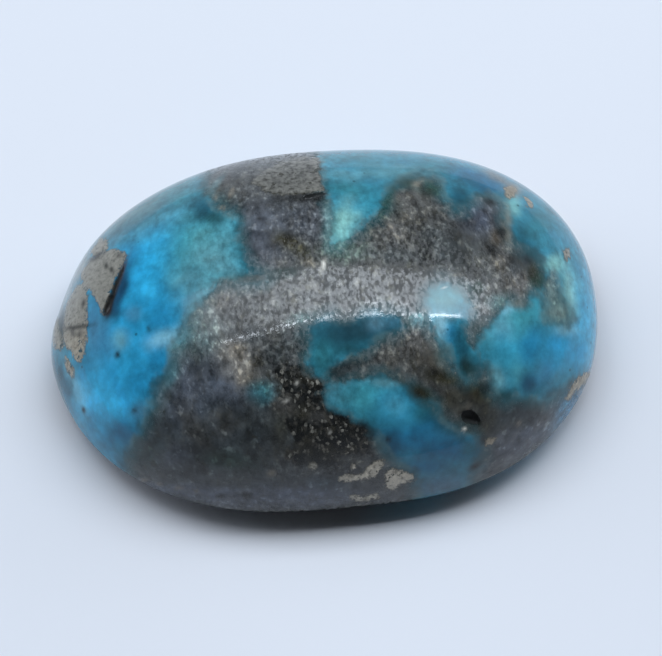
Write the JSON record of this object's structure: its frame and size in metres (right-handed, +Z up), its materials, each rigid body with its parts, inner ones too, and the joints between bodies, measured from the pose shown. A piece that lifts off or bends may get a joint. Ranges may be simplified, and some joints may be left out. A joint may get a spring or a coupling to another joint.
{
  "type": "polished turquoise cabochon",
  "caption": "Oval domed turquoise stone, polished, with blue patches and metallic flecks in grey matrix. It rests on a flat back.",
  "frame": {"origin": "under the middle of the stone, on its flat back", "axes": "+X along the stone's length, +Z up through the dome"},
  "size_m": [0.0254, 0.0184, 0.0082],
  "materials": {
    "turquoise_in_matrix": "polished: turquoise blue patches and tan-grey pyrite in a speckled grey matrix, under one glassy polish, with duller pyrite"
  },
  "bodies": {
    "root": {"polished_turquoise": "turquoise_in_matrix"}
  },
  "joints": []
}
